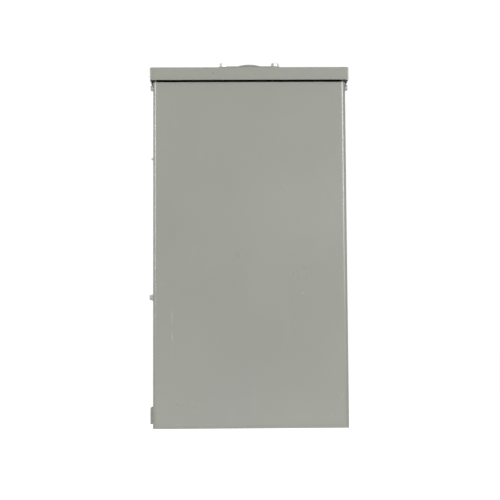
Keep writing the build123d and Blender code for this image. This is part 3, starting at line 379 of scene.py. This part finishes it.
def directory_card():
    """Matt card with ruled rows and a centre column line, printed grey."""
    lo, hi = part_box("circuit_directory")
    rules = 11
    card = Surface("card", (0.60, 0.60, 0.56), 0.7)
    card.vary_color((0.54, 0.53, 0.48), card.remap(card.noise(14, 5.0), 0.45, 0.75))
    pitch = (hi.z - lo.z) / rules
    height = card.math("SUBTRACT", card.axis(2), lo.z + pitch / 2)
    step = card.math("FRACT", card.math("DIVIDE", height, pitch), 0.0)
    off = card.math("ABSOLUTE", card.math("SUBTRACT", step, 0.5), 0.0)
    row_line = card.remap(off, 0.0, 0.035, 1.0, 0.0)
    middle = card.remap(card.math("ABSOLUTE", card.axis(0), 0.0), 0.0003, 0.0007, 1.0, 0.0)
    card.vary_color((0.16, 0.17, 0.18), card.math("MULTIPLY", card.math("MAXIMUM", row_line, middle), 0.8))
    card.vary_roughness(card.noise(200, 2.0), 0.62, 0.8)
    card.bump(card.noise(900, 3.0), 0.00004, 0.6)
    return card.material


def finishes():
    """One material for each slot of the record."""
    return {
        "enamel": enamel("enamel"),
        "inner_enamel": enamel("inner_enamel"),
        "zinc": plated("zinc", (0.66, 0.665, 0.65), (0.60, 0.585, 0.50), 0.18, 0.36),
        "galvanized": galvanized(),
        "tinned_bus": plated("tinned_bus", (0.70, 0.695, 0.68), (0.60, 0.59, 0.57), 0.26, 0.42, (1, 1, 0.05)),
        "lug_aluminium": aluminium(),
        "black_moulding": moulded("black_moulding", (0.018, 0.018, 0.019), (0.055, 0.055, 0.055), 0.42, 0.6),
        "handle_plastic": moulded("handle_plastic", (0.012, 0.012, 0.013), (0.05, 0.05, 0.05), 0.26, 0.4),
        "insulator_plastic": moulded("insulator_plastic", (0.055, 0.055, 0.06), (0.10, 0.10, 0.10), 0.45, 0.65),
        "nylon": nylon(),
        "gasket_rubber": rubber(),
        "card": directory_card(),
        "green_zinc": plated("green_zinc", (0.06, 0.30, 0.10), (0.09, 0.36, 0.16), 0.25, 0.4),
    }


def paint_frame():
    """Every CAD node takes the finish of its slot. The door has a scratched enamel of its own."""
    made = finishes()
    slots = {part["node"]: part["material_slot"] for part in frame["record"]["subparts"]}
    door_enamel = enamel("door_enamel", scratched=True)
    for name, piece in nodes.items():
        finish = door_enamel if name == "door" else made[slots[name]]
        if not piece.data.materials:
            piece.data.materials.append(finish)
        for index in range(len(piece.material_slots)):
            piece.material_slots[index].material = finish


# ---- Small pieces --------------------------------------------------------------------------------
ROWS = 10
ROW_PITCH = 25.4 * MM
TOP_ROW_Z = 120.0 * MM
NUMBER_COLUMN_X = 68.0 * MM
NUMBER_SIZE = 8.0 * MM
NUMBER_PROUD = 0.12 * MM


def circuit_numbers(ink):
    """Printed numbers beside the breaker windows: odd on the left, even on the right."""
    middle_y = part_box("deadfront")[0].y - NUMBER_PROUD / 2
    joined = bmesh.new()
    for side, first in ((-1, 1), (1, 2)):
        for row in range(ROWS):
            text = bpy.data.curves.new("number", "FONT")
            text.body = str(first + 2 * row)
            text.size = NUMBER_SIZE
            text.extrude = NUMBER_PROUD / 2
            text.align_x = "CENTER"
            text.align_y = "CENTER"
            figure = bpy.data.objects.new("number", text)
            mesh = bpy.data.meshes.new_from_object(figure)
            place = Vector((side * NUMBER_COLUMN_X, middle_y, TOP_ROW_Z - row * ROW_PITCH))
            mesh.transform(Matrix.Translation(place) @ Matrix.Rotation(math.radians(90), 4, "X"))
            joined.from_mesh(mesh)
            bpy.data.objects.remove(figure)
            bpy.data.curves.remove(text)
            bpy.data.meshes.remove(mesh)
    mesh = bpy.data.meshes.new("circuit_numbers")
    joined.to_mesh(mesh)
    joined.free()
    piece = bpy.data.objects.new("circuit_numbers", mesh)
    mesh.materials.append(ink)
    bpy.context.scene.collection.objects.link(piece)
    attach(piece, "enclosure")


def printing_ink():
    """Thin black printing, a little worn."""
    ink = Surface("printing_ink", (0.02, 0.02, 0.022), 0.5)
    ink.vary_color((0.06, 0.06, 0.062), ink.remap(ink.noise(300, 4.0), 0.4, 0.7))
    ink.vary_roughness(ink.noise(500, 2.0), 0.4, 0.6)
    ink.bump(ink.noise(1500, 2.0), 0.00002, 0.5)
    return ink.material


bpy.context.scene.view_settings.view_transform = "Standard"
make_camera()
make_world()
make_floor()
make_lights()
paint_frame()
circuit_numbers(printing_ink())
